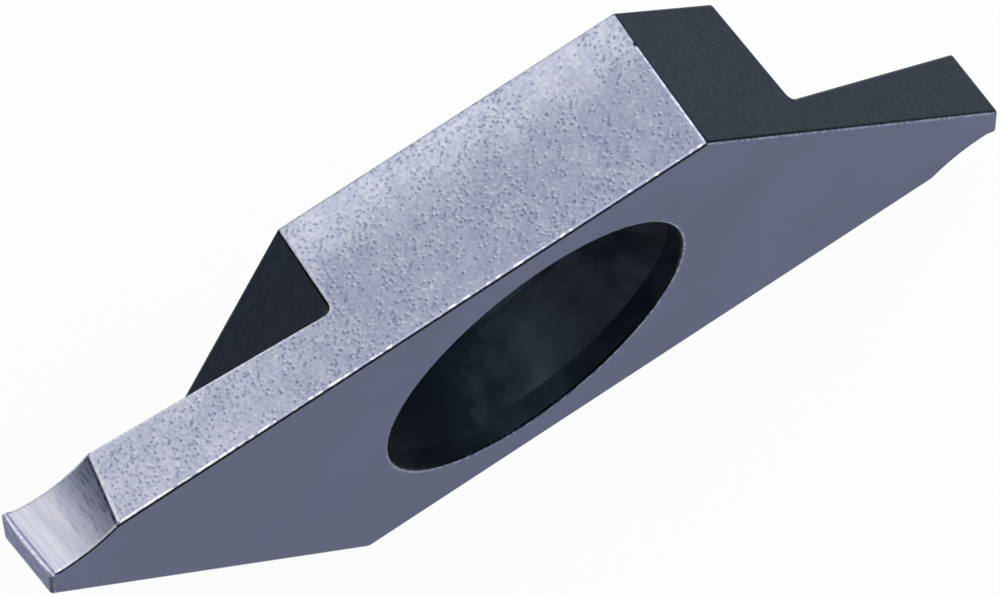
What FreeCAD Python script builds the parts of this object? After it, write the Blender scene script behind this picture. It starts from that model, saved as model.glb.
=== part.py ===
import FreeCAD, Part
import os

import Sketcher

# A double-ended cut-off insert: one plate of cemented carbide with a cutting blade at each end.
# X runs along the long edges, Y through the thickness from the locating face to the back, and
# Z up across the plate. The origin is on the axis of the screw hole, half-way through the plate.
# The ends are alike, and half a turn about Y swaps them, so only the left end is drawn. One
# small nick, in the right heel, is wear.

os.makedirs("parts", exist_ok=True)

doc = FreeCAD.newDocument("CutOffInsert")
sizes = doc.addObject("Spreadsheet::Sheet", "Sizes")

# Lengths are in millimetres and angles in degrees.
driving_sizes = {
    "plate_thickness": 3.0,
    "plate_height": 8.33,
    "overall_length": 21.5,
    "heel_distance": 3.43,
    "clearance_lean": 2.5,
    "relief_height": 0.8,
    "relief_angle": 4.0,
    "edge_width": 1.48,
    "chip_width": 1.4,
    "chip_depth": 0.375,
    "chip_radius": 1.7,
    "chip_skew": 9.5,
    "chip_dip": 4.6,
    "land_depth": 0.046,
    "land_angle": 20.0,
    "land_dip": 2.3,
    "side_relief": 5.3,
    "back_taper": 2.7,
    "blade_reach": 6.76,
    "shoulder_angle": 21.0,
    "root_radius": 0.15,
    "corner_radius": 0.06,
    "recess_diameter": 6.5,
    "recess_depth": 0.46,
    "bore_diameter": 5.0,
    "seat_angle": 60.0,
    "nick_place": 2.27,
    "nick_start": 0.09,
    "nick_radius": 0.04,
    "overrun": 1.5,
}
for row, (alias, number) in enumerate(driving_sizes.items(), start=1):
    sizes.set(f"A{row}", str(number))
    sizes.setAlias(f"A{row}", alias)
doc.recompute()

# Places on the left end, as expressions of the sizes. The tip is the front cutting corner.
top = "Sizes.plate_height / 2"
front = "Sizes.plate_thickness / 2"
tip_x = "-Sizes.overall_length / 2"

# The chip former is part of a circle. Its centre is given from the tip along X, and from the
# upper long face up. The cutting edge lies where the circle meets the end of the blade.
centre_rise = "(Sizes.chip_radius - Sizes.chip_depth)"
centre_reach = f"(Sizes.chip_width - sqrt(Sizes.chip_radius ^ 2 - {centre_rise} ^ 2))"
edge_drop = f"(sqrt(Sizes.chip_radius ^ 2 - {centre_reach} ^ 2) - {centre_rise})"
tip_z = f"({top} - {edge_drop})"
relief_slope = "tan(Sizes.relief_angle)"
relief_x = f"({tip_x} + Sizes.relief_height * {relief_slope})"
relief_z = f"({tip_z} - Sizes.relief_height)"
over = "Sizes.overrun"


def value(expression):
    return float(sizes.evalExpression(expression))


def origin_feature(body, role):
    return [item for item in body.Origin.OriginFeatures if item.Role == role][0]


def new_sketch(body, name, plane):
    sketch = body.newObject("Sketcher::SketchObject", name)
    sketch.AttachmentSupport = [(origin_feature(body, plane), "")]
    sketch.MapMode = "FlatFace"
    return sketch


def place_sketch(sketch, **settings):
    """Tie the sketch's offset from its plane to the sheet: x, y, z, Yaw, Pitch and Roll."""
    for name, expression in settings.items():
        part = f"Base.{name}" if name in ("x", "y", "z") else f"Rotation.{name}"
        sketch.setExpression(f"AttachmentOffset.{part}", expression)


def draw_outline(body, name, plane, corners):
    """Draw a closed outline of straight sides, each corner dimensioned from the origin."""
    sketch = new_sketch(body, name, plane)
    points = [FreeCAD.Vector(value(across), value(up)) for across, up in corners]
    for start, end in zip(points, points[1:] + points[:1]):
        sketch.addGeometry(Part.LineSegment(start, end))
    for side, (across, up) in enumerate(corners):
        before = (side - 1) % len(corners)
        sketch.addConstraint(Sketcher.Constraint("Coincident", before, 2, side, 1))
        for kind, expression in (("DistanceX", across), ("DistanceY", up)):
            place = Sketcher.Constraint(kind, -1, 1, side, 1, value(expression))
            constraint = sketch.addConstraint(place)
            sketch.setExpression(f"Constraints[{constraint}]", expression)
    return sketch


def draw_circle(body, name, plane, radius):
    """Draw a circle round the sketch's origin."""
    sketch = new_sketch(body, name, plane)
    centre = FreeCAD.Vector(0, 0, 0)
    up = FreeCAD.Vector(0, 0, 1)
    circle = sketch.addGeometry(Part.Circle(centre, up, value(radius)))
    sketch.addConstraint(Sketcher.Constraint("Coincident", circle, 3, -1, 1))
    constraint = sketch.addConstraint(Sketcher.Constraint("Radius", circle, value(radius)))
    sketch.setExpression(f"Constraints[{constraint}]", radius)
    return sketch


def cut_pocket(body, name, sketch, depth):
    pocket = body.newObject("PartDesign::Pocket", name)
    pocket.Profile = sketch
    pocket.setExpression("Length", depth)
    return pocket


def cut_both_ways(body, name, sketch):
    """Cut right through the plate, ahead of the sketch's plane and behind it."""
    pocket = cut_pocket(body, name, sketch, "4 * Sizes.plate_thickness")
    pocket.Midplane = True
    return pocket


def repeat_at_other_end(body, name, features):
    pattern = body.newObject("PartDesign::PolarPattern", name)
    pattern.Originals = features
    pattern.Axis = (origin_feature(body, "Y_Axis"), [""])
    pattern.Angle = 360
    pattern.Occurrences = 2
    body.Tip = pattern
    return pattern


def round_edges(body, name, points, radius):
    """Round the edges that pass through the points, at both ends."""
    doc.recompute()
    base = body.Tip
    edges = []
    for point in points:
        for place in (point, FreeCAD.Vector(-point.x, point.y, -point.z)):
            mark = Part.Vertex(place)
            for number, edge in enumerate(base.Shape.Edges, start=1):
                if edge.distToShape(mark)[0] < 1e-4:
                    edges.append(f"Edge{number}")
    fillet = body.newObject("PartDesign::Fillet", name)
    fillet.Base = (base, edges)
    fillet.setExpression("Radius", radius)
    return fillet


def make_blank(body):
    """The plate, whose leaning ends become the reliefs under the cutting edges."""
    upper_x = f"({tip_x} - {edge_drop} * {relief_slope})"
    lower_x = f"({upper_x} + Sizes.plate_height * {relief_slope})"
    outline = draw_outline(body, "PlateOutline", "XZ_Plane", [
        (upper_x, top),
        (lower_x, f"-{top}"),
        (f"-{upper_x}", f"-{top}"),
        (f"-{lower_x}", top),
    ])
    plate = body.newObject("PartDesign::Pad", "Plate")
    plate.Profile = outline
    plate.Midplane = True
    plate.setExpression("Length", "Sizes.plate_thickness")


def grind_notches(body):
    """The step behind each blade. Its shoulder is square to the blade's relieved back face."""
    bottom = f"-(Sizes.plate_height + {over})"
    shoulder_slope = "tan(Sizes.shoulder_angle)"
    outline = draw_outline(body, "NotchOutline", "XZ_Plane", [
        (f"-{over}", over),
        (f"-{over}", bottom),
        (f"Sizes.blade_reach + {bottom} * {shoulder_slope}", bottom),
        (f"Sizes.blade_reach + {over} * {shoulder_slope}", over),
    ])
    place_sketch(outline, x=tip_x, y=tip_z, z=f"{front} - Sizes.edge_width",
                 Pitch="-Sizes.back_taper", Roll="-Sizes.side_relief")
    notch = cut_pocket(body, "Notch", outline, "2 * Sizes.plate_thickness")
    repeat_at_other_end(body, "Notches", [notch])
    doc.recompute()
    root = outline.Placement.multVec(FreeCAD.Vector(value("Sizes.blade_reach"), 0, 0))
    round_edges(body, "NotchRoots", [root], "Sizes.root_radius")
    tip = FreeCAD.Vector(value(tip_x), -value(front), value(tip_z))
    back_tip = tip + FreeCAD.Vector(0, value("Sizes.edge_width"), 0)
    round_edges(body, "BladeCorners", [tip, back_tip], "Sizes.corner_radius")


def grind_clearance(body):
    """The long clearance face, from the relief's foot to the heel, leaning out to the back."""
    fall = f"({relief_z} + {top})"
    run = f"(-Sizes.heel_distance - {relief_x})"
    far_end = f"-hypot({fall}; {run}) - {over}"
    outline = draw_outline(body, "ClearanceOutline", "XZ_Plane", [
        (far_end, "0"),
        (far_end, "-Sizes.plate_height"),
        (over, "-Sizes.plate_height"),
        (over, "0"),
    ])
    place_sketch(outline, x="-Sizes.heel_distance", y=f"-{top}", z=front,
                 Yaw=f"-atan({fall} / {run})", Roll="-Sizes.clearance_lean")
    return cut_both_ways(body, "Clearance", outline)


def grind_chip_former(body):
    """The hollow behind the cutting edge, round in section, skewed and deeper at the back."""
    outline = draw_circle(body, "ChipFormerOutline", "XZ_Plane", "Sizes.chip_radius")
    place_sketch(outline, x=f"{tip_x} + {centre_reach}", y=f"{top} + {centre_rise}", z=front,
                 Pitch="-Sizes.chip_skew", Roll="-Sizes.chip_dip")
    return cut_both_ways(body, "ChipFormer", outline)


def grind_edge_land(body):
    """The narrow flat along the cutting edge, between the hollow and the relief."""
    outline = draw_outline(body, "EdgeLandOutline", "XZ_Plane", [
        (f"-{over}", "-Sizes.land_depth"),
        (over, "-Sizes.land_depth"),
        (over, over),
        (f"-{over}", over),
    ])
    place_sketch(outline, x=tip_x, y=tip_z, z=front,
                 Yaw="Sizes.land_angle", Roll="-Sizes.land_dip")
    return cut_both_ways(body, "EdgeLand", outline)


def bore_hole(body):
    """The stepped hole: a recess for the rim of the screw's head, its conical seat, the bore."""
    recess = "Sizes.recess_diameter / 2"
    bore = "Sizes.bore_diameter / 2"
    seat_start = f"(Sizes.recess_depth - {front})"
    seat_end = f"{seat_start} + ({recess} - {bore}) / tan(Sizes.seat_angle / 2)"
    outline = draw_outline(body, "HoleOutline", "XY_Plane", [
        ("0", f"-{front} - {over}"),
        (recess, f"-{front} - {over}"),
        (recess, seat_start),
        (bore, seat_end),
        (bore, f"{front} + {over}"),
        ("0", f"{front} + {over}"),
    ])
    hole = body.newObject("PartDesign::Groove", "ScrewHole")
    hole.Profile = outline
    hole.ReferenceAxis = (outline, ["V_Axis"])
    hole.Angle = 360


def nick_heel(body):
    """A small half-round nick, worn in the edge between the right heel and the top face."""
    outline = draw_circle(body, "HeelNickOutline", "YZ_Plane", "Sizes.nick_radius")
    place_sketch(outline, x=f"Sizes.nick_place - {front}", y=top,
                 z=f"Sizes.heel_distance + {over}")
    cut_pocket(body, "HeelNick", outline, f"{over} - Sizes.nick_start")


def check_features(body):
    """Stop if a feature has failed, or if a cutting feature takes nothing away."""
    doc.recompute()
    for item in doc.Objects:
        if "Invalid" in item.State or "Error" in item.State:
            raise RuntimeError(f"{item.Label} failed: {item.State}")
    volume = None
    for item in body.Group:
        if not item.isDerivedFrom("PartDesign::Feature"):
            continue
        previous, volume = volume, item.Shape.Volume
        if previous is not None and abs(previous - volume) < 1e-5:
            raise RuntimeError(f"{item.Label} changes nothing")
        print(f"{item.Label}: {volume:.3f} mm3")


body = doc.addObject("PartDesign::Body", "Insert")
body.Label = "insert_plate"
body.Placement = FreeCAD.Placement()
make_blank(body)
grind_notches(body)
repeat_at_other_end(body, "Ends", [
    grind_clearance(body),
    grind_chip_former(body),
    grind_edge_land(body),
])
bore_hole(body)
nick_heel(body)
check_features(body)

if body.Shape.isNull() or not body.Shape.isValid() or len(body.Shape.Solids) != 1:
    raise RuntimeError("the insert is not one sound solid")
body.Shape.exportStep(f"parts/{body.Label}.step")
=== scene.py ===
import math

import bmesh
import bpy
from mathutils import Matrix, Vector


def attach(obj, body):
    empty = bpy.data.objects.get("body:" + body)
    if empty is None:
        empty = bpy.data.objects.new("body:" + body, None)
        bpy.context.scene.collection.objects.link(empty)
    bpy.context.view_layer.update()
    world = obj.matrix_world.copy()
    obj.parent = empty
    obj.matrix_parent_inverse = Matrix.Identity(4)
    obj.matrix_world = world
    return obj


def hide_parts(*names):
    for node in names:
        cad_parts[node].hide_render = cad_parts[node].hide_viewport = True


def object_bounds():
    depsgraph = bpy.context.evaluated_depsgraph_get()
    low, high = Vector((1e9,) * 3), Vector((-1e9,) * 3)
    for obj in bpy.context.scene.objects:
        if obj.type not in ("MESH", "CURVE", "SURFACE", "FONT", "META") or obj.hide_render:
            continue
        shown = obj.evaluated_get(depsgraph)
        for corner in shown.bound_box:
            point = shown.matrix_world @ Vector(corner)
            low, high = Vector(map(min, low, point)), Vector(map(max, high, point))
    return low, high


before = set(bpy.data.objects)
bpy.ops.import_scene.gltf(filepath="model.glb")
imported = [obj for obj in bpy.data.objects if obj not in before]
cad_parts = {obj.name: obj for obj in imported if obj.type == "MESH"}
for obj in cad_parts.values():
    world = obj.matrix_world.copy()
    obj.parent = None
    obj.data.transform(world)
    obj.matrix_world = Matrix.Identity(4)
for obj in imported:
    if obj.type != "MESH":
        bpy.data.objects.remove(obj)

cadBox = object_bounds()
mm = 0.001
scene = bpy.context.scene


def colour(hexCode):
    # sRGB hex to Blender's linear values
    channels = [int(hexCode[i:i + 2], 16) / 255 for i in (1, 3, 5)]
    linear = [c / 12.92 if c <= 0.04045 else ((c + 0.055) / 1.055) ** 2.4 for c in channels]
    return (*linear, 1.0)


def addNode(tree, kind, settings={}, inputs={}):
    # inputs are named or numbered: a socket is linked, anything else is set
    node = tree.nodes.new("ShaderNode" + kind)
    for name, setting in settings.items():
        setattr(node, name, setting)
    for name, given in inputs.items():
        if isinstance(given, bpy.types.NodeSocket):
            tree.links.new(given, node.inputs[name])
        else:
            node.inputs[name].default_value = given
    return node


def newMaterial(name):
    material = bpy.data.materials.new(name)
    material.use_nodes = True
    material.node_tree.nodes.clear()
    return material


# Camera: a long lens, from the left and well above.
cameraSizes = {
    "azimuth": -43.765,
    "elevation": 64.160,
    "roll": 7.782,
    "distance": 245.80 * mm,
    "aim": Vector((0.389, 0.0, -0.982)) * mm,
    "lens": 497.75,
    "sensor": 36.0,
}


def placeCamera(sizes):
    turn = Matrix.Rotation(math.radians(sizes["azimuth"]), 4, "Z")
    tilt = Matrix.Rotation(math.radians(90 - sizes["elevation"]), 4, "X")
    roll = Matrix.Rotation(math.radians(sizes["roll"]), 4, "Z")
    back = Matrix.Translation((0, 0, sizes["distance"]))
    data = bpy.data.cameras.new("camera")
    data.lens = sizes["lens"]
    data.sensor_width = sizes["sensor"]
    data.clip_start = sizes["distance"] / 100
    camera = bpy.data.objects.new("camera", data)
    camera.matrix_world = Matrix.Translation(sizes["aim"]) @ turn @ tilt @ back @ roll
    scene.collection.objects.link(camera)
    scene.camera = camera


placeCamera(cameraSizes)
print("camera placed")

# Studio: a light tent that is brighter towards the upper right, one soft lamp, and a pale floor.
studio = {
    "tentDark": 0.08,
    "tentBright": 1.0,
    "tentTowards": Vector((0.45, 0.35, 0.82)),
    "darkBelow": 0.0,
    "brightAbove": 0.98,
    "lampPower": 0.25,
    "lampSize": 220 * mm,
    "lampFrom": Vector((0.14, -0.17, 0.26)),
    "floorSide": 20.0,
    "paper": "#F4F4F4",
    "floorGlow": 0.72,
    "paperSeen": 0.95,
    "backdropSeen": 1.0,
}


def buildTent(sizes):
    world = bpy.data.worlds.new("lightTent")
    world.use_nodes = True
    scene.world = world
    tree = world.node_tree
    tree.nodes.clear()
    direction = addNode(tree, "TexCoord").outputs["Generated"]
    towards = addNode(tree, "VectorMath", {"operation": "DOT_PRODUCT"},
                      {0: direction, 1: sizes["tentTowards"].normalized()})
    glow = addNode(tree, "MapRange", {}, {
        "Value": towards.outputs["Value"],
        "From Min": sizes["darkBelow"],
        "From Max": sizes["brightAbove"],
        "To Min": sizes["tentDark"],
        "To Max": sizes["tentBright"],
    })
    cloth = addNode(tree, "Background", {}, {"Strength": glow.outputs["Result"]})
    backdrop = addNode(tree, "Background", {}, {"Strength": sizes["backdropSeen"]})
    for background in (cloth, backdrop):
        background.inputs["Color"].default_value = colour("#FFFFFF")
    seen = addNode(tree, "LightPath").outputs["Is Camera Ray"]
    both = addNode(tree, "MixShader", {}, {0: seen, 1: cloth.outputs[0], 2: backdrop.outputs[0]})
    addNode(tree, "OutputWorld", {}, {"Surface": both.outputs[0]})


def hangLamp(sizes):
    data = bpy.data.lights.new("softLamp", "AREA")
    data.energy = sizes["lampPower"]
    data.size = sizes["lampSize"]
    lamp = bpy.data.objects.new("softLamp", data)
    lamp.location = sizes["lampFrom"]
    lamp.rotation_euler = sizes["lampFrom"].to_track_quat("Z", "Y").to_euler()
    scene.collection.objects.link(lamp)


def whitePaper(sizes):
    # seamless white paper: matt and even. It keeps a faint shadow, and the carbide mirrors it
    material = newMaterial("seamlessWhitePaper")
    tree = material.node_tree
    paper = addNode(tree, "BsdfDiffuse", {}, {"Color": colour(sizes["paper"])})
    glow = addNode(tree, "Emission", {}, {"Color": colour("#FFFFFF"), "Strength": 1.0})
    path = addNode(tree, "LightPath").outputs
    rays = addNode(tree, "Math", {"operation": "MAXIMUM"},
                   {0: path["Is Glossy Ray"], 1: path["Is Transmission Ray"]})
    share = addNode(tree, "Math", {"operation": "MULTIPLY"},
                    {0: rays.outputs[0], 1: sizes["floorGlow"]})
    share = addNode(tree, "Math", {"operation": "MULTIPLY_ADD"},
                    {0: path["Is Camera Ray"], 1: sizes["paperSeen"], 2: share.outputs[0]})
    both = addNode(tree, "MixShader", {},
                   {0: share.outputs[0], 1: paper.outputs[0], 2: glow.outputs[0]})
    addNode(tree, "OutputMaterial", {}, {"Surface": both.outputs[0]})
    return material


def layFloor(sizes):
    bm = bmesh.new()
    bmesh.ops.create_grid(bm, x_segments=1, y_segments=1, size=sizes["floorSide"] / 2)
    bmesh.ops.translate(bm, verts=bm.verts, vec=(0, 0, cadBox[0].z))
    mesh = bpy.data.meshes.new("floor")
    bm.to_mesh(mesh)
    bm.free()
    floor = bpy.data.objects.new("floor", mesh)
    floor.data.materials.append(whitePaper(sizes))
    scene.collection.objects.link(floor)


buildTent(studio)
hangLamp(studio)
layFloor(studio)
print("studio lit")

# Finishes. The plate is cemented carbide throughout: a dense, grey, metal-like composite, so
# each finish is a metal with the default IOR. They differ in how the face was finished, and in
# tone, which is painted light and shade: the faces towards the light are lighter, and the
# clearance faces, notches, corners and the hole darker. The real grain is about 2 microns and
# the grinding lines 5 to 20, too fine to show in the render: grain, pits and lines are drawn
# 40 to 200 microns wide, as coarse as they need to show.
# Lengths and places in the looks are in mm along the plate's own axes, and only the relief is
# in metres. A range is where a noise pattern goes from the first of two tones to the second.
def objectInMm(tree, stretch=(1.0, 1.0, 1.0)):
    # Object coordinates in millimetres; a stretch above 1 draws the pattern out along that axis
    place = addNode(tree, "TexCoord").outputs["Object"]
    scale = [1 / (mm * along) for along in stretch]
    return addNode(tree, "Mapping", {}, {"Vector": place, "Scale": scale}).outputs[0]


def metalOut(tree, base, roughness, height=None, relief=0.0):
    shader = addNode(tree, "BsdfPrincipled", {}, {
        "Base Color": base,
        "Metallic": 1.0,
        "Roughness": roughness,
    })
    if height is not None:
        bump = addNode(tree, "Bump", {}, {"Height": height, "Distance": relief, "Strength": 1.0})
        tree.links.new(bump.outputs[0], shader.inputs["Normal"])
    addNode(tree, "OutputMaterial", {}, {"Surface": shader.outputs[0]})


pittedLook = {
    "dull": "#B3B6CB",
    "worn": "#CCCEDE",
    "bright": "#DEE0EF",
    "hollows": "#DBDEE8",
    "pitShade": "#A9B1C9",
    "fleckAndHighlight": "#E2E3EA",
    "brightFrom": 0.0,
    "brightTo": 1.4,
    "wornFrom": -3.5,
    "wornTo": -7.0,
    "mottle": 0.4,
    "grain": 0.085,
    "grainWeight": 1.5,
    "hollowRange": (1.55, 0.95),
    "patch": 0.9,
    "patchRange": (0.36, 0.58),
    "crowdLeast": 0.36,
    "ragged": 0.07,
    "pitSpacing": 0.086,
    "pitRadius": 0.05,
    "dashSpacing": 0.15,
    "dashLength": 3.0,
    "dashTurn": 35.0,
    "highlightShift": (0.045, 0.011, 0.0),
    "fleckAndHighlightShare": 0.7,
    "fleckSpacing": 0.12,
    "fleckRadius": 0.05,
    "relief": 0.003 * mm,
    "roughness": 0.44,
}


def roundDots(tree, place, spacing, radius, share, fullRank=0.25):
    # dots of random size, 1 at their centres, in that share of a Voronoi pattern's cells. A
    # cell ranks by how far its chance lies under the share, and dots grow up to the full rank
    cells = addNode(tree, "TexVoronoi", {}, {"Vector": place, "Scale": 1 / spacing}).outputs
    chance = addNode(tree, "SeparateColor", {}, {0: cells["Color"]}).outputs[0]
    rank = addNode(tree, "Math", {"operation": "SUBTRACT", "use_clamp": True},
                   {0: share, 1: chance}).outputs[0]
    size = addNode(tree, "MapRange", {}, {
        "Value": rank, "From Max": fullRank, "To Max": radius / spacing}).outputs[0]
    return addNode(tree, "MapRange", {"interpolation_type": "SMOOTHSTEP"}, {
        "Value": cells["Distance"], "From Min": size, "From Max": 0.0}).outputs[0]


def pitsAt(tree, place, look, share):
    # round pits and short scratches
    turned = addNode(tree, "Mapping", {"vector_type": "TEXTURE"}, {
        "Vector": place, "Rotation": (0.0, 0.0, math.radians(look["dashTurn"])),
        "Scale": (look["dashLength"], 1.0, 1.0)}).outputs[0]
    dots = roundDots(tree, place, look["pitSpacing"], look["pitRadius"], share)
    dashes = roundDots(tree, turned, look["dashSpacing"], look["pitRadius"], share)
    return addNode(tree, "Math", {"operation": "MAXIMUM"}, {0: dots, 1: dashes}).outputs[0]


def pittedCarbide(look):
    # long edges, as sintered and tumbled: light and fine-grained, with small pits and scratches
    # in patches, partly darkened as painted shade, each with a painted highlight on one side, so
    # the face looks dry and slightly rough
    material = newMaterial("sinteredPittedCarbide")
    tree = material.node_tree
    place = objectInMm(tree)
    along, across, _ = addNode(tree, "SeparateXYZ", {}, {0: place}).outputs
    # painted sheen: lighter towards the back of the plate
    backSheen = addNode(tree, "MapRange", {"interpolation_type": "SMOOTHSTEP"}, {
        "Value": across, "From Min": look["brightFrom"], "From Max": look["brightTo"]})
    worn = addNode(tree, "MapRange", {}, {
        "Value": along, "From Min": look["wornFrom"], "From Max": look["wornTo"]})
    ground = addNode(tree, "Mix", {"data_type": "RGBA"}, {
        0: worn.outputs[0], 6: colour(look["dull"]), 7: colour(look["worn"])})
    ground = addNode(tree, "Mix", {"data_type": "RGBA"}, {
        0: backSheen.outputs[0], 6: ground.outputs[2], 7: colour(look["bright"])})

    patch = addNode(tree, "TexNoise", {}, {
        "Vector": place, "Scale": 1 / look["patch"], "Detail": 2.0})
    crowd = addNode(tree, "MapRange", {}, {
        "Value": patch.outputs["Fac"],
        "From Min": look["patchRange"][0], "From Max": look["patchRange"][1],
        "To Min": look["crowdLeast"], "To Max": 1.0}).outputs[0]
    grain = addNode(tree, "TexNoise", {}, {
        "Vector": place, "Scale": 1 / look["grain"], "Detail": 2.0}).outputs
    ragged = addNode(tree, "VectorMath", {"operation": "MULTIPLY_ADD"}, {
        0: grain["Color"], 1: (look["ragged"],) * 3, 2: place}).outputs[0]
    pits = pitsAt(tree, ragged, look, crowd)
    # painted highlights: the same pits and scratches again, shifted to one side
    beyond = addNode(tree, "VectorMath", {"operation": "SUBTRACT"}, {
        0: ragged, 1: look["highlightShift"]}).outputs[0]
    rimHighlights = pitsAt(tree, beyond, look, crowd)
    flecksAndHighlights = roundDots(tree, ragged, look["fleckSpacing"], look["fleckRadius"], crowd)
    flecksAndHighlights = addNode(tree, "Math", {"operation": "MAXIMUM"}, {0: rimHighlights, 1: flecksAndHighlights}).outputs[0]
    flecksAndHighlights = addNode(tree, "Math", {"operation": "MULTIPLY"}, {
        0: flecksAndHighlights, 1: look["fleckAndHighlightShare"]}).outputs[0]
    mottle = addNode(tree, "TexNoise", {}, {
        "Vector": place, "Scale": 1 / look["mottle"], "Detail": 2.0}).outputs[0]
    fine = addNode(tree, "Math", {"operation": "MULTIPLY_ADD"}, {
        0: grain["Fac"], 1: look["grainWeight"], 2: mottle})
    fine = addNode(tree, "MapRange", {}, {
        "Value": fine.outputs[0],
        "From Min": look["hollowRange"][0], "From Max": look["hollowRange"][1]})
    ground = addNode(tree, "Mix", {"data_type": "RGBA"}, {
        0: flecksAndHighlights, 6: ground.outputs[2], 7: colour(look["fleckAndHighlight"])})
    ground = addNode(tree, "Mix", {"data_type": "RGBA", "blend_type": "MULTIPLY"}, {
        0: pits, 6: ground.outputs[2], 7: colour(look["pitShade"])})
    ground = addNode(tree, "Mix", {"data_type": "RGBA", "blend_type": "MULTIPLY"}, {
        0: fine.outputs[0], 6: ground.outputs[2], 7: colour(look["hollows"])})
    depth = addNode(tree, "Math", {"operation": "SUBTRACT"}, {0: grain["Fac"], 1: pits})
    metalOut(tree, ground.outputs[2], look["roughness"], depth.outputs[0], look["relief"])
    return material


lappedLook = {
    "base": "#606788",
    "shade": "#5B617F",
    "speck": "#50566F",
    "edgeShadow": "#1F262E",
    "edgeShadowWidth": 0.11,
    "ragged": 0.06,
    "grain": 0.04,
    "grainWeight": 0.6,
    "cloud": 3.0,
    "shadeRange": (0.3, 0.75),
    "speckSpacing": 0.9,
    "speckRadius": 0.04,
    "speckCore": 0.6,
    "speckShare": 0.8,
    "roughness": 0.5,
}


def lappedCarbide(look):
    # large faces, lapped flat: even, matt blue-grey, with a few fine specks, and a thin dark
    # ragged painted shadow under the upper long edge
    material = newMaterial("lappedMattCarbide")
    tree = material.node_tree
    place = objectInMm(tree)
    cloud = addNode(tree, "TexNoise", {}, {
        "Vector": place, "Scale": 1 / look["cloud"], "Detail": 2.0})
    grain = addNode(tree, "TexNoise", {}, {
        "Vector": place, "Scale": 1 / look["grain"], "Detail": 2.0})
    both = addNode(tree, "Math", {"operation": "MULTIPLY_ADD"}, {
        0: grain.outputs["Fac"], 1: look["grainWeight"], 2: -look["grainWeight"] / 2})
    both = addNode(tree, "Math", {}, {0: both.outputs[0], 1: cloud.outputs["Fac"]})
    shade = addNode(tree, "MapRange", {}, {
        "Value": both.outputs[0],
        "From Min": look["shadeRange"][0], "From Max": look["shadeRange"][1]})
    ground = addNode(tree, "Mix", {"data_type": "RGBA"}, {
        0: shade.outputs[0], 6: colour(look["base"]), 7: colour(look["shade"])})
    cells = addNode(tree, "TexVoronoi", {}, {
        "Vector": place, "Scale": 1 / look["speckSpacing"]})
    speckEdge = look["speckRadius"] / look["speckSpacing"]
    dots = addNode(tree, "MapRange", {}, {
        "Value": cells.outputs["Distance"],
        "From Min": speckEdge, "From Max": look["speckCore"] * speckEdge,
        "To Max": look["speckShare"]})
    ground = addNode(tree, "Mix", {"data_type": "RGBA"}, {
        0: dots.outputs[0], 6: ground.outputs[2], 7: colour(look["speck"])})
    # painted shadow: a thin dark band under the upper long edge
    up = addNode(tree, "SeparateXYZ", {}, {0: place}).outputs["Z"]
    up = addNode(tree, "Math", {"operation": "MULTIPLY_ADD"}, {
        0: grain.outputs["Fac"], 1: look["ragged"], 2: up})
    lowest = cadBox[1].z / mm - look["edgeShadowWidth"] + look["ragged"] / 2
    edgeShadow = addNode(tree, "MapRange", {}, {
        "Value": up.outputs[0], "From Min": lowest, "From Max": lowest + look["ragged"] / 2})
    ground = addNode(tree, "Mix", {"data_type": "RGBA"}, {
        0: edgeShadow.outputs[0], 6: ground.outputs[2], 7: colour(look["edgeShadow"])})
    metalOut(tree, ground.outputs[2], look["roughness"])
    return material


wheelLook = {
    "dark": "#C4C6D8",
    "light": "#E2E3EE",
    "runOutShade": "#A9AFCC",
    "streak": "#7E83A4",
    "streakWidth": 0.045,
    "streakRange": (0.52, 0.68),
    "streakShare": (0.3, 0.9),
    "runOutShadeFrom": 9.95,
    "runOutShadeTo": 9.2,
    "line": 0.045,
    "lineLength": 4.0,
    "band": 0.16,
    "toneRange": (0.75, 1.25),
    "relief": 0.001 * mm,
    "roughness": 0.3,
}


def wheelCarbide(look):
    # chip formers, ground by a small wheel: bright, with fine lines along the wheel's path,
    # which turn streaky where the wheel runs out of the hollow, and darker and bluer there as
    # painted shade
    material = newMaterial("wheelGroundCarbide")
    tree = material.node_tree
    place = objectInMm(tree, (1.0, look["lineLength"] / look["line"], 1.0))
    lines = addNode(tree, "TexNoise", {}, {
        "Vector": place, "Scale": 1 / look["line"], "Detail": 2.0})
    bands = addNode(tree, "TexNoise", {}, {
        "Vector": place, "Scale": 1 / look["band"], "Detail": 1.0})
    both = addNode(tree, "Math", {}, {0: lines.outputs["Fac"], 1: bands.outputs["Fac"]})
    tone = addNode(tree, "MapRange", {}, {
        "Value": both.outputs[0],
        "From Min": look["toneRange"][0], "From Max": look["toneRange"][1]})
    ground = addNode(tree, "Mix", {"data_type": "RGBA"}, {
        0: tone.outputs[0], 6: colour(look["dark"]), 7: colour(look["light"])})
    # painted shade: darker and bluer towards the upper edge of each hollow
    along = addNode(tree, "SeparateXYZ", {}, {0: place}).outputs["X"]
    reach = addNode(tree, "Math", {"operation": "ABSOLUTE"}, {0: along})
    runOutShade = addNode(tree, "MapRange", {}, {
        "Value": reach.outputs[0],
        "From Min": look["runOutShadeFrom"], "From Max": look["runOutShadeTo"]})
    ground = addNode(tree, "Mix", {"data_type": "RGBA"}, {
        0: runOutShade.outputs[0], 6: ground.outputs[2], 7: colour(look["runOutShade"])})
    streaks = addNode(tree, "TexNoise", {}, {
        "Vector": place, "Scale": 1 / look["streakWidth"], "Detail": 1.0})
    streaks = addNode(tree, "MapRange", {}, {
        "Value": streaks.outputs["Fac"],
        "From Min": look["streakRange"][0], "From Max": look["streakRange"][1]})
    strength = addNode(tree, "MapRange", {}, {
        "Value": runOutShade.outputs[0],
        "To Min": look["streakShare"][0], "To Max": look["streakShare"][1]})
    streaks = addNode(tree, "Math", {"operation": "MULTIPLY"}, {
        0: streaks.outputs[0], 1: strength.outputs[0]})
    ground = addNode(tree, "Mix", {"data_type": "RGBA"}, {
        0: streaks.outputs[0], 6: ground.outputs[2], 7: colour(look["streak"])})
    metalOut(tree, ground.outputs[2], look["roughness"], lines.outputs["Fac"], look["relief"])
    return material


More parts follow.
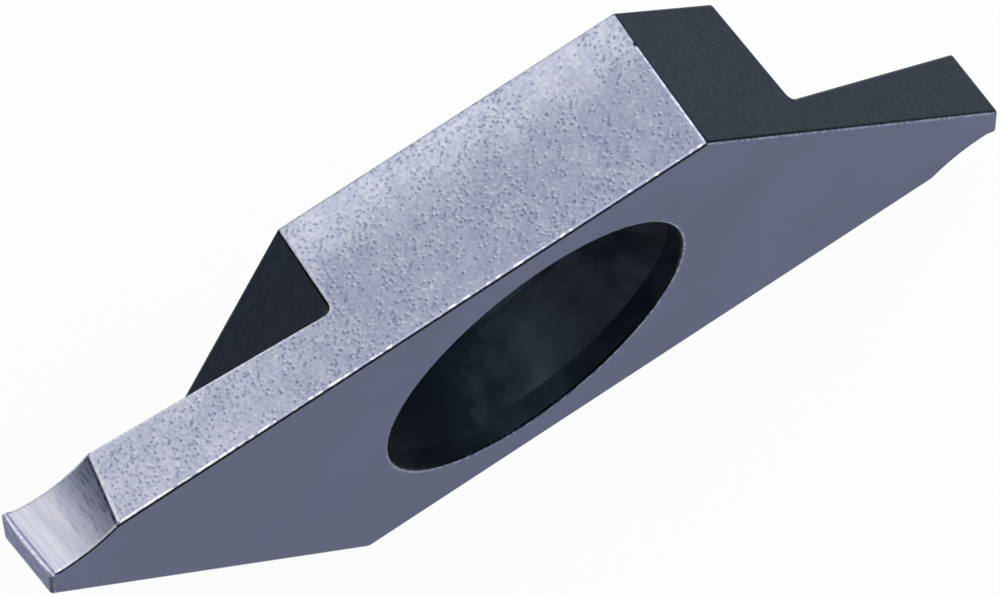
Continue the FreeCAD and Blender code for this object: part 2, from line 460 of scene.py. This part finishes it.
# Ground faces that differ in tone and in the run of their lines, which follow the stretch.
# What a look doesn't give, it has from the usual ground look.
usualGround = {"stretch": (1.0, 1.0, 1.0), "range": (0.35, 0.65), "roughness": 0.45}
groundLooks = {
    # slanted clearance faces: fine wheel, with soft clouds; the dark slate tone is painted shade
    "fineGround": {"dark": "#192738", "light": "#253547", "line": 0.14, "roughness": 0.5},
    # notches behind the blades: form wheel, unpolished; darker still as painted shade
    "formGround": {"dark": "#141D2C", "light": "#1C2736", "line": 0.08,
                   "stretch": (4.0, 1.0, 4.0), "roughness": 0.5},
    # end reliefs: ground across the blade, purple-grey and mottled
    "crossGround": {"dark": "#484C7A", "light": "#767AA6", "line": 0.16,
                    "stretch": (1.0, 1.2, 1.0), "roughness": 0.42},
    # lands on the cutting edges: honed, mid grey
    "landHone": {"dark": "#9296B4", "light": "#B4B7D0", "line": 0.12,
                 "stretch": (1.0, 2.5, 1.0), "roughness": 0.4},
    # rounded corners of the blades, darker than the faces beside them as painted shade
    "cornerGround": {"dark": "#2A2F46", "light": "#3F4561", "line": 0.2},
    # screw hole: as sintered, painted shade near black, with soft paler clouds; the recess has
    # painted shade a little lighter
    "sinteredBlack": {"dark": "#1A212A", "light": "#545E6C", "line": 1.0, "roughness": 0.55,
                      "fade": {"about": 1.4, "least": 2.8, "most": 0.0}, "range": (0.0, 0.75)},
    "sinteredRecess": {"dark": "#222A36", "light": "#3E4856", "line": 1.2, "roughness": 0.55},
    # broken edges: painted highlights on the flanks, ragged ones that break up towards the middle
    # of the plate, crisp ones at the chip formers and notches, rougher and evenly pale ones along
    # the formers' front arcs, softer ones at the heels, and painted shade on the darker flanks
    # opposite
    "brightHone": {"dark": "#A6AAC2", "light": "#FDFDFF", "line": 0.15,
                   "fade": {"about": 0.0, "least": 2.5, "most": 7.0}, "range": (0.36, 0.52)},
    "crispHone": {"dark": "#D0D4EA", "light": "#F4F5FF", "line": 0.08,
                  "range": (0.38, 0.54), "roughness": 0.48},
    "arcHone": {"dark": "#E4E7FA", "light": "#F8F9FF", "line": 0.08,
                "range": (0.35, 0.55), "roughness": 0.62},
    "softHone": {"dark": "#BFC3DC", "light": "#F2F3FF", "line": 0.1, "range": (0.4, 0.6)},
    "shadedHone": {"dark": "#080D12", "light": "#262E38", "line": 0.08, "range": (0.5, 0.65)},
    "dimHone": {"dark": "#323849", "light": "#646A82", "line": 0.1},
    "landShade": {"dark": "#858BAC", "light": "#A6ACC9", "line": 0.1,
                  "stretch": (1.0, 2.0, 1.0)},
    "rimHone": {"dark": "#666C8A", "light": "#9499B4", "line": 0.08,
                "range": (0.4, 0.6), "roughness": 0.4},
}


def groundCarbide(name, look):
    material = newMaterial(name + "Carbide")
    tree = material.node_tree
    lines = addNode(tree, "TexNoise", {}, {
        "Vector": objectInMm(tree, look["stretch"]), "Scale": 1 / look["line"], "Detail": 3.0})
    tone = addNode(tree, "MapRange", {"clamp": "fade" not in look}, {
        "Value": lines.outputs["Fac"],
        "From Min": look["range"][0], "From Max": look["range"][1]})
    if "fade" in look:
        # the light tone goes in patches, away from where it is at its most
        fade = look["fade"]
        along = addNode(tree, "SeparateXYZ", {}, {0: objectInMm(tree)}).outputs["X"]
        along = addNode(tree, "Math", {"operation": "SUBTRACT"}, {0: along, 1: fade["about"]})
        reach = addNode(tree, "Math", {"operation": "ABSOLUTE"}, {0: along.outputs[0]})
        loss = addNode(tree, "MapRange", {}, {
            "Value": reach.outputs[0], "From Min": fade["most"], "From Max": fade["least"]})
        tone = addNode(tree, "Math", {"operation": "SUBTRACT", "use_clamp": True}, {
            0: tone.outputs[0], 1: loss.outputs[0]})
    ground = addNode(tree, "Mix", {"data_type": "RGBA"}, {
        0: tone.outputs[0], 6: colour(look["dark"]), 7: colour(look["light"])})
    metalOut(tree, ground.outputs[2], look["roughness"])
    return material


materials = {
    "sinteredPitted": pittedCarbide(pittedLook),
    "lappedMatt": lappedCarbide(lappedLook),
    "wheelGround": wheelCarbide(wheelLook),
}
for name, look in groundLooks.items():
    materials[name] = groundCarbide(name, {**usualGround, **look})
print("materials made")

# The plate: the CAD shape with its sharp edges broken, and a finish on each face. A face is
# told by its place and by how much of its normal lies along X, Y or Z.
plate = {
    "mergeWithin": 0.00001 * mm,
    "flatWithin": 0.05,
    "honeWidth": 0.06 * mm,
    "landHoneWidth": 0.055 * mm,
    "honeAngle": 20.0,
    "honeSegments": 2,
    "square": 0.999,
    "half": 0.5,
    "leaning": 0.3,
    "slight": 0.1,
    "none": 0.001,
    "holeReach": 3.3 * mm,
    "tipReach": 10.6 * mm,
    "hollowReach": 8.8 * mm,
    "hollowHeight": 3.6 * mm,
    "shoulderReach": 7.2 * mm,
    "backReach": 1.3 * mm,
    "nick": Vector((3.53, 0.77, 4.15)) * mm,
    "nickReach": 0.12 * mm,
}
# A broken edge has two flanks. The key is a flank's own face, then the face across the edge.
# these finishes paint highlights and shade on the flanks
honeFinishes = {
    ("sinteredPitted", "lappedMatt"): "brightHone",
    ("sinteredPitted", "wheelGround"): "crispHone",
    ("sinteredPitted", "formGround"): "crispHone",
    ("sinteredPitted", "fineGround"): "softHone",
    ("lappedMatt", "sinteredPitted"): "shadedHone",
    ("wheelGround", "sinteredPitted"): "dimHone",
    ("formGround", "sinteredPitted"): "shadedHone",
    ("wheelGround", "lappedMatt"): "arcHone",
    ("lappedMatt", "wheelGround"): "shadedHone",
    ("landHone", "wheelGround"): "crispHone",
    ("wheelGround", "landHone"): "landShade",
    ("lappedMatt", "fineGround"): "rimHone",
    ("fineGround", "lappedMatt"): "shadedHone",
    ("lappedMatt", "sinteredRecess"): "rimHone",
    ("sinteredRecess", "lappedMatt"): "shadedHone",
}


def finishOf(face, sizes):
    normal = face.normal
    centre = face.calc_center_median()
    alongX, alongY, alongZ = (abs(part) for part in normal)
    nearTip = abs(centre.x) > sizes["tipReach"]
    pastHollow = abs(centre.x) > sizes["hollowReach"]
    if alongY > sizes["square"]:
        return "lappedMatt"
    if math.hypot(centre.x, centre.z) < sizes["holeReach"]:
        inRecess = alongY < sizes["none"] and centre.y < 0
        return "sinteredRecess" if inRecess else "sinteredBlack"
    if alongZ > sizes["square"] and not pastHollow:
        return "sinteredPitted"
    if nearTip and alongY > sizes["slight"] and alongX > sizes["slight"]:
        return "cornerGround"
    if nearTip and normal.x * normal.z < 0 and alongZ > sizes["half"]:
        return "landHone"
    if nearTip and alongZ < sizes["leaning"]:
        return "crossGround"
    if pastHollow and abs(centre.z) > sizes["hollowHeight"]:
        return "wheelGround"
    if normal.x * normal.z > 0 and alongX > sizes["half"]:
        return "fineGround"
    return "formGround"


def besideHone(face, honed, slots):
    # the finish that a broken edge's flank borders, across its longest side
    sides = [
        (edge.calc_length(), slots[other.material_index])
        for edge in face.edges for other in edge.link_faces if other not in honed
    ]
    return max(sides)[1] if sides else None


def finishHone(honed, slots, sizes):
    # a flank is paired with the one across its longest side; at the back and at the notches
    # they stay plain, so that no painted highlight shows there
    beside = {face: besideHone(face, honed, slots) for face in honed}
    for face, own in beside.items():
        across = [
            (edge.calc_length(), beside[other]) for edge in face.edges for other in edge.link_faces
            if other in honed and beside[other] not in (own, None)
        ]
        if not across:
            continue
        other = max(across)[1]
        centre = face.calc_center_median()
        atNotch = other == "formGround" and abs(centre.x) > sizes["shoulderReach"]
        if atNotch or centre.y > sizes["backReach"]:
            if (own, other) == ("lappedMatt", "sinteredPitted"):
                face.material_index = slots.index(other)
        elif (own, other) in honeFinishes:
            face.material_index = slots.index(honeFinishes[own, other])


def breakEdges(bm, edges, width, slots, sizes):
    made = bmesh.ops.bevel(bm, geom=edges, offset=width, affect="EDGES",
                           segments=sizes["honeSegments"], profile=0.5, material=-1,
                           clamp_overlap=False)
    finishHone(set(made["faces"]), slots, sizes)
    return set(made["faces"])


def innerLandEdges(bm, slots):
    # where the lands on the cutting edges meet the chip formers
    both = {slots.index("landHone"), slots.index("wheelGround")}
    return [
        edge for edge in bm.edges
        if {face.material_index for face in edge.link_faces} == both
    ]


def sharpEdges(bm, honed, slots, sizes):
    # the cutting edges, the nick and the seat inside the hole are left as they are
    left = {slots.index("landHone")}
    hole = {slots.index("sinteredBlack"), slots.index("sinteredRecess")}
    sharp = []
    for edge in bm.edges:
        besides = {face.material_index for face in edge.link_faces}
        middle = (edge.verts[0].co + edge.verts[1].co) / 2
        if besides & left or besides == hole or honed & set(edge.link_faces):
            continue
        if (middle - sizes["nick"]).length < sizes["nickReach"]:
            continue
        if edge.calc_face_angle() > math.radians(sizes["honeAngle"]):
            sharp.append(edge)
    return sharp


def makePlate(sizes):
    bm = bmesh.new()
    bm.from_mesh(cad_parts["insert_plate"].data)
    bmesh.ops.remove_doubles(bm, verts=bm.verts, dist=sizes["mergeWithin"])
    bmesh.ops.dissolve_limit(bm, angle_limit=math.radians(sizes["flatWithin"]),
                             verts=bm.verts, edges=bm.edges)
    slots = list(materials)
    for face in bm.faces:
        face.material_index = slots.index(finishOf(face, sizes))
        face.smooth = True
    inner = innerLandEdges(bm, slots)
    honed = breakEdges(bm, inner, sizes["landHoneWidth"], slots, sizes)
    sharp = sharpEdges(bm, honed, slots, sizes)
    honed |= breakEdges(bm, sharp, sizes["honeWidth"], slots, sizes)
    honed = {face for face in honed if face.is_valid}
    for edge in bm.edges:
        inHone = [face in honed for face in edge.link_faces]
        besides = {face.material_index for face in edge.link_faces}
        edge.smooth = all(inHone) or (not any(inHone) and len(besides) == 1)
    mesh = bpy.data.meshes.new("insertPlate")
    bm.to_mesh(mesh)
    bm.free()
    for name in slots:
        mesh.materials.append(materials[name])
    piece = bpy.data.objects.new("insertPlate", mesh)
    scene.collection.objects.link(piece)
    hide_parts("insert_plate")
    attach(piece, "root")
    print("plate made:", len(mesh.polygons), "faces,", len(honed), "of them on broken edges")


makePlate(plate)

scene.view_settings.view_transform = "Standard"
